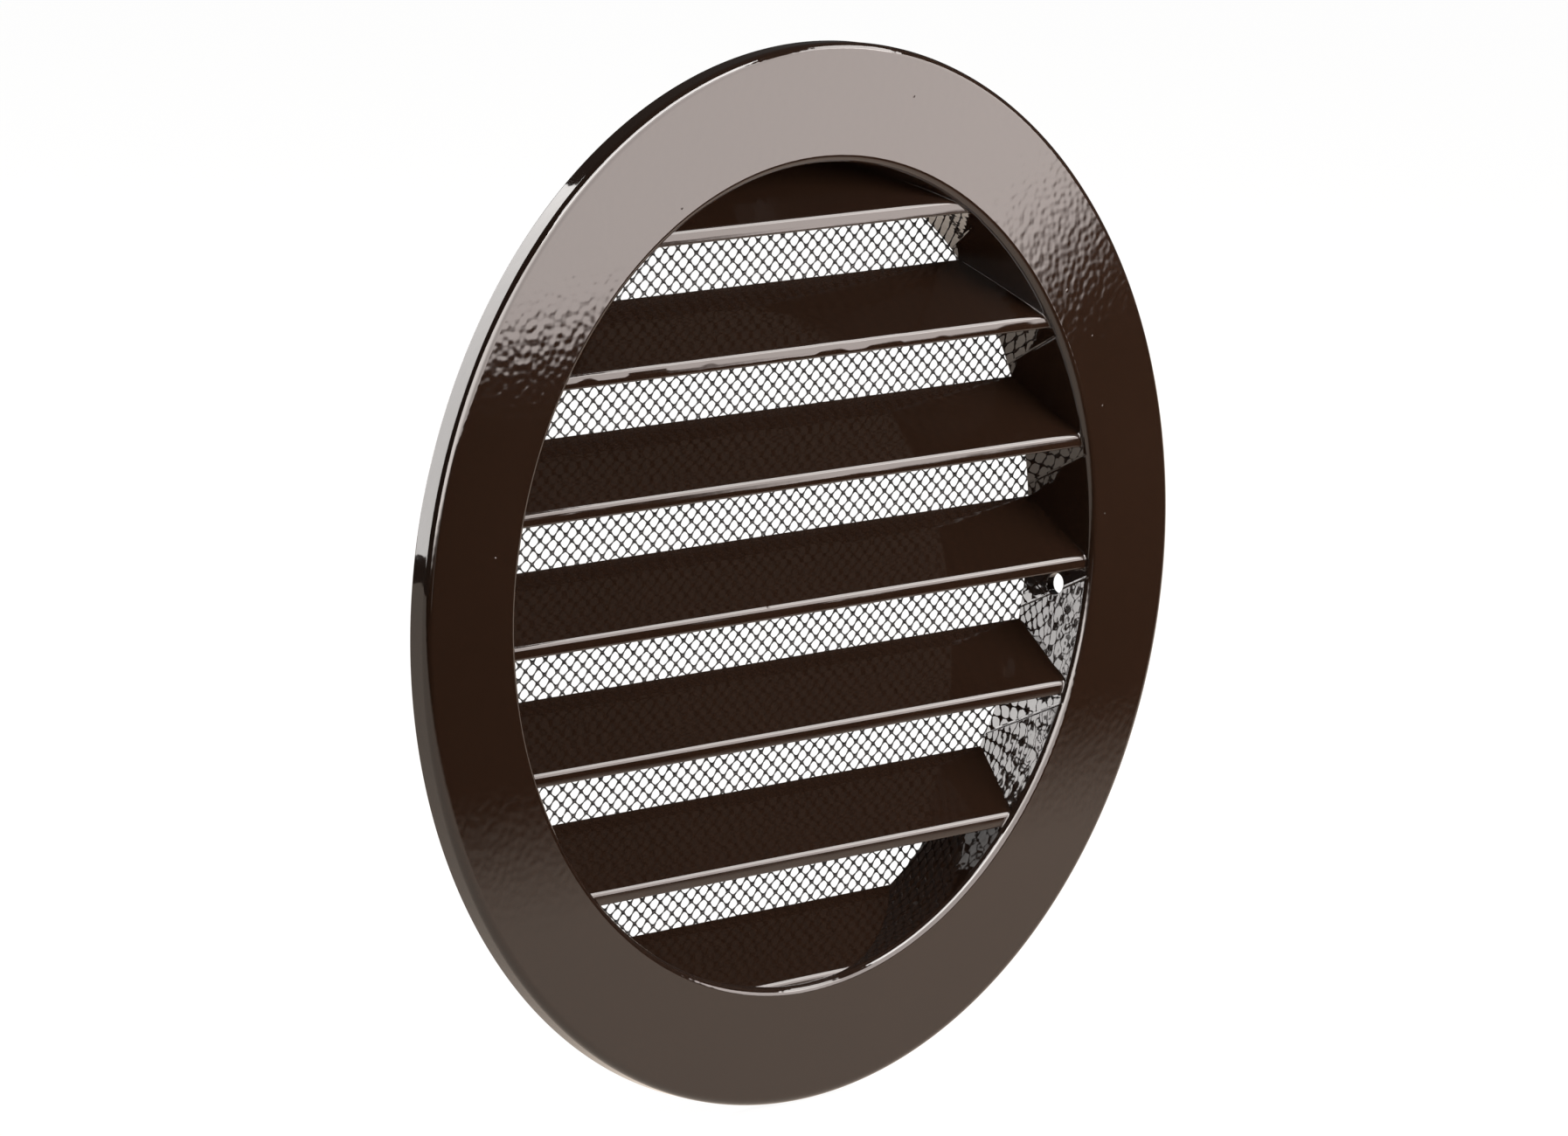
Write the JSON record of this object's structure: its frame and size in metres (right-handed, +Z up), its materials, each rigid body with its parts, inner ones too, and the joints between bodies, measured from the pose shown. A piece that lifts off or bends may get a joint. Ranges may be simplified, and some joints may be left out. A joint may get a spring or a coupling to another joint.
{
  "type": "round vent grille",
  "caption": "Round louvred vent grille for a duct end: flat flange with a turned-back rim, short collar, fixed sloping slats and an insect mesh behind them.",
  "frame": {"origin": "on the collar's axis, in the plane where the rim seats on the wall", "axes": "+Y along the collar into the duct, +Z up across the slats, +X along the slats; the front faces -Y"},
  "size_m": [0.153, 0.0137, 0.153],
  "materials": {
    "casting_paint": "glossy dark brown powder coat on die-cast aluminium, with orange peel",
    "mesh_wire": "dark coated glass-fibre yarn, woven"
  },
  "bodies": {
    "root": {"grille_casting": "casting_paint", "insect_mesh": "mesh_wire"}
  },
  "joints": []
}
